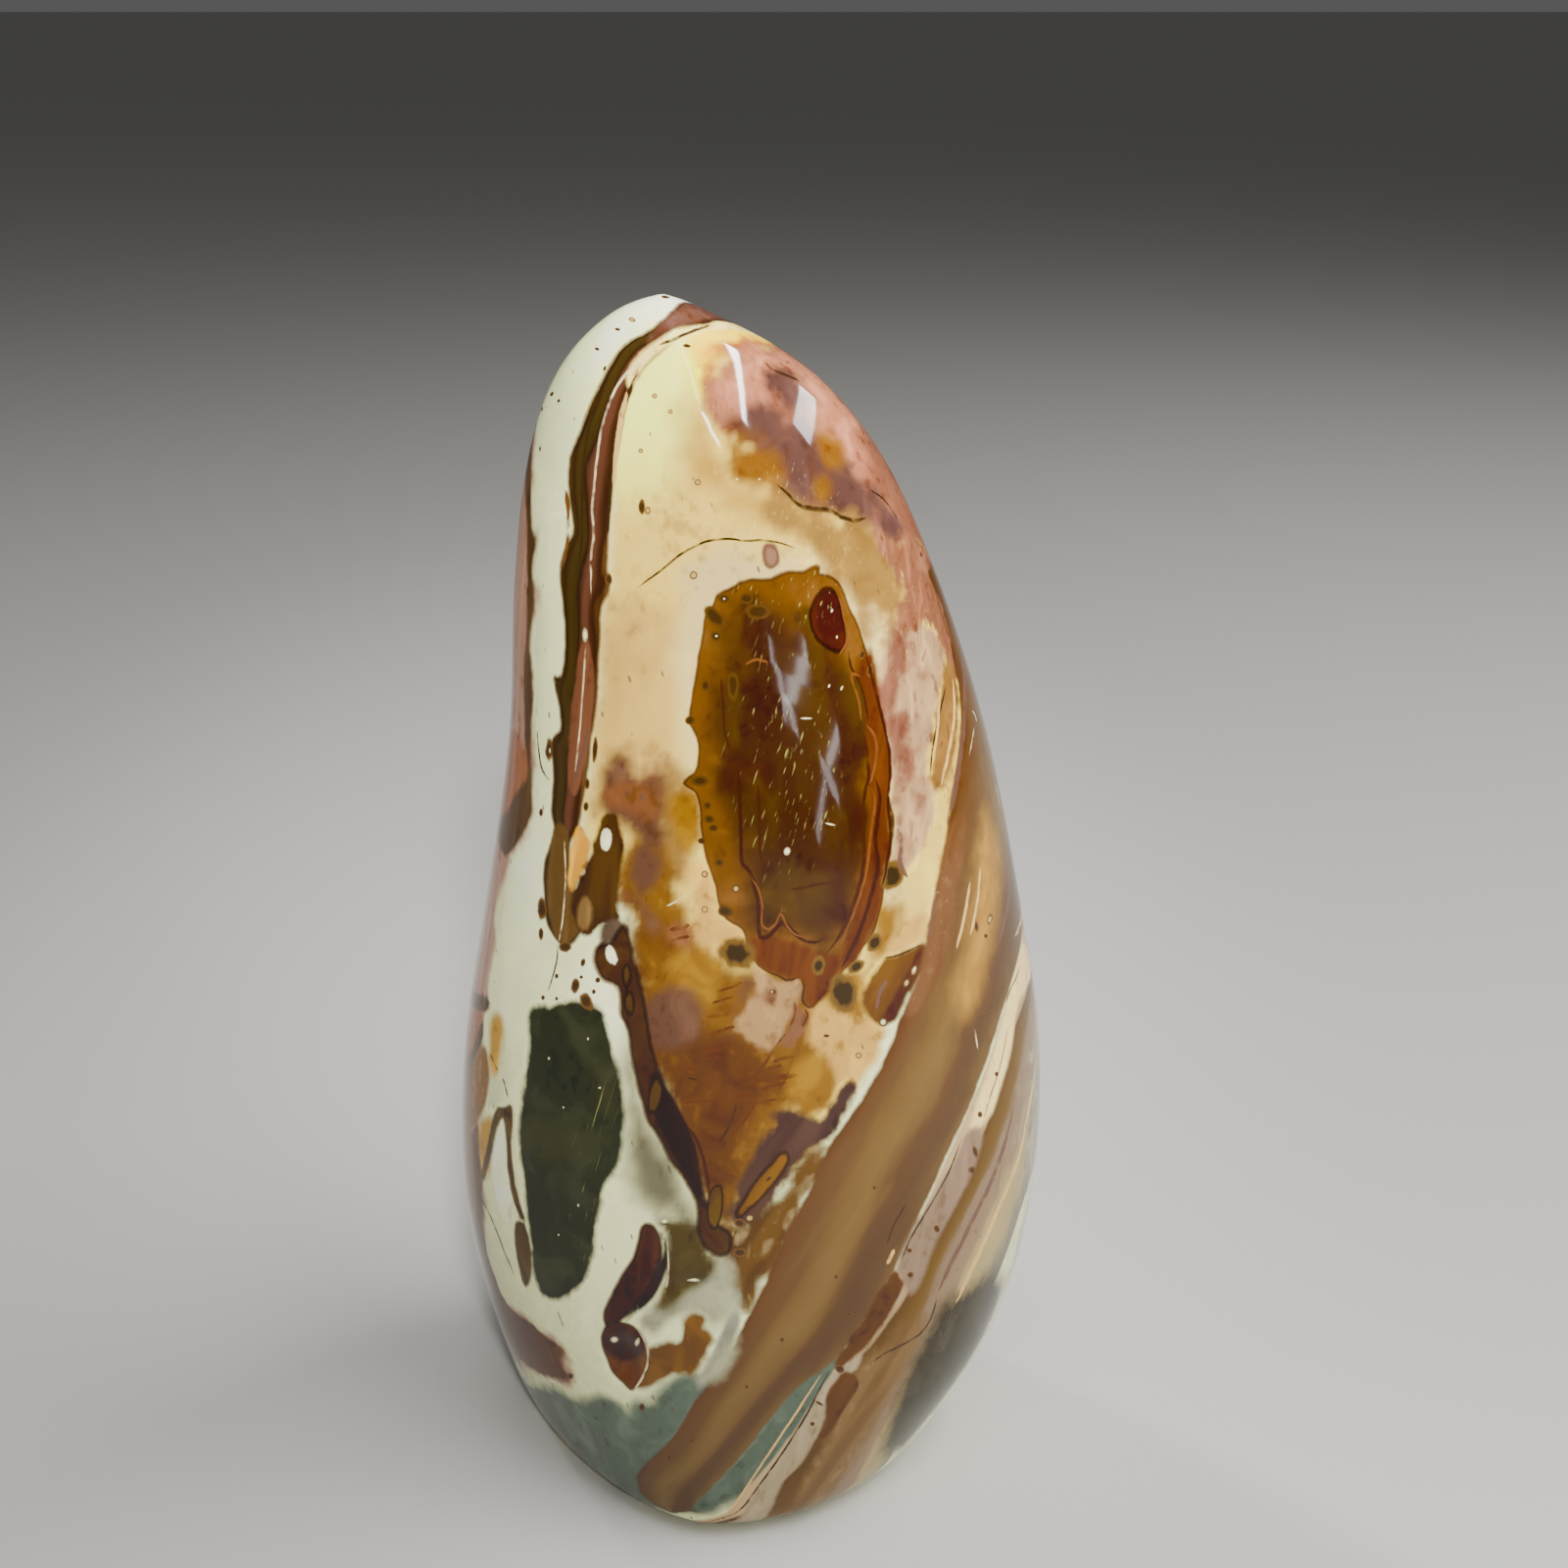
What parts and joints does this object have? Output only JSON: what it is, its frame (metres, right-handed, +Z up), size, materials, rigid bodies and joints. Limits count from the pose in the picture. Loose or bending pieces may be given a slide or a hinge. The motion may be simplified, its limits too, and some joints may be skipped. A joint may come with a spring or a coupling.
{
  "type": "polished jasper freeform",
  "caption": "Tall polished freeform of polychrome jasper that stands on a flat cut base, one broad face forward.",
  "frame": {"origin": "middle of the stone's box, on the surface that it rests on", "axes": "+Z up; the broad face with the amber eye looks along -Y; +X is to that face's right as it is looked at"},
  "size_m": [0.0718, 0.0592, 0.14],
  "materials": {
    "polished_jasper": "high lapidary polish over cream, ochre, brown, mauve and green patterned jasper"
  },
  "bodies": {
    "root": {"jasper_stone": "polished_jasper"}
  },
  "joints": []
}
